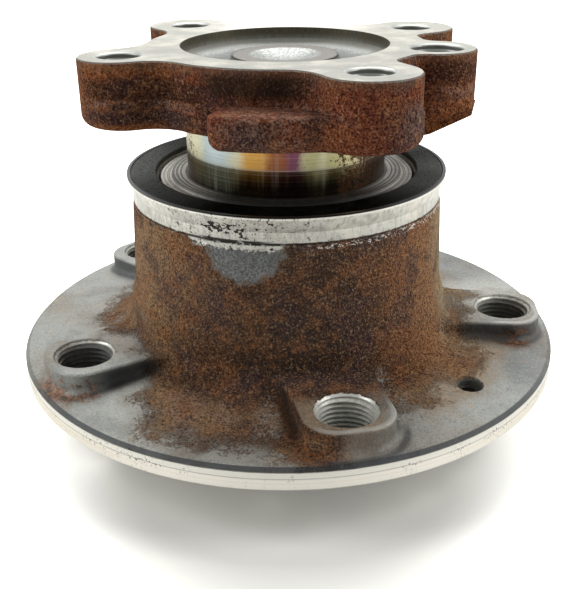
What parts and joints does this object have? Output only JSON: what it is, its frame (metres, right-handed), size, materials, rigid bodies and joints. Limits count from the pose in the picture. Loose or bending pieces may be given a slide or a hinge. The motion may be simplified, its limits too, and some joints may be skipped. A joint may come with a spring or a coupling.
{
  "type": "wheel hub bearing",
  "caption": "Wheel hub bearing: a flanged outer ring that carries a road wheel turns on a fixed spindle that bolts to the steering knuckle.",
  "frame": {"origin": "bearing axis at the end of the wheel pilot, on which the part stands", "axes": "+Z along the bearing axis from the wheel side to the knuckle side; -Y towards the viewer of the picture"},
  "size_m": [0.1462, 0.1462, 0.0975],
  "materials": {
    "hub_forging": "rusty forging with machined rim, band and threads",
    "spindle_forging": "rusty forging with machined face and heat-tinted ground shaft",
    "bearing_steel": "polished",
    "cage_polymer": "satin",
    "seal_steel": "satin",
    "seal_rubber": "satin",
    "encoder_rubber": "satin",
    "cap_steel": "satin"
  },
  "bodies": {
    "spindle": {"spindle": "spindle_forging", "outboard_inner_ring": "bearing_steel", "seal_slinger": "seal_steel"},
    "hub": {"wheel_hub": "hub_forging", "seal_carrier": "seal_steel", "seal_lips": "seal_rubber", "encoder_carrier": "seal_steel", "encoder_ring": "encoder_rubber", "end_cap": "cap_steel"},
    "inboard_row": {"inboard_ball_cage": "cage_polymer", "inboard_ball_01": "bearing_steel", "inboard_ball_02": "bearing_steel", "inboard_ball_03": "bearing_steel", "inboard_ball_04": "bearing_steel", "inboard_ball_05": "bearing_steel", "inboard_ball_06": "bearing_steel", "inboard_ball_07": "bearing_steel", "inboard_ball_08": "bearing_steel", "inboard_ball_09": "bearing_steel", "inboard_ball_10": "bearing_steel", "inboard_ball_11": "bearing_steel", "inboard_ball_12": "bearing_steel", "inboard_ball_13": "bearing_steel"},
    "outboard_row": {"outboard_ball_cage": "cage_polymer", "outboard_ball_01": "bearing_steel", "outboard_ball_02": "bearing_steel", "outboard_ball_03": "bearing_steel", "outboard_ball_04": "bearing_steel", "outboard_ball_05": "bearing_steel", "outboard_ball_06": "bearing_steel", "outboard_ball_07": "bearing_steel", "outboard_ball_08": "bearing_steel", "outboard_ball_09": "bearing_steel", "outboard_ball_10": "bearing_steel", "outboard_ball_11": "bearing_steel", "outboard_ball_12": "bearing_steel", "outboard_ball_13": "bearing_steel"}
  },
  "joints": [
    {"name": "hub_spin", "type": "hinge", "parent": "spindle", "child": "hub", "pos_m": [0, 0, 0.038], "axis": [0, 0, 1], "continuous": true},
    {"name": "inboard_row_spin", "type": "hinge", "parent": "spindle", "child": "inboard_row", "pos_m": [0, 0, 0.05], "axis": [0, 0, 1], "continuous": true},
    {"name": "outboard_row_spin", "type": "hinge", "parent": "spindle", "child": "outboard_row", "pos_m": [0, 0, 0.026], "axis": [0, 0, 1], "continuous": true}
  ],
  "couplings": [
    {"joint": "inboard_row_spin", "follows": "hub_spin", "ratio": 0.5803},
    {"joint": "outboard_row_spin", "follows": "hub_spin", "ratio": 0.5803}
  ]
}
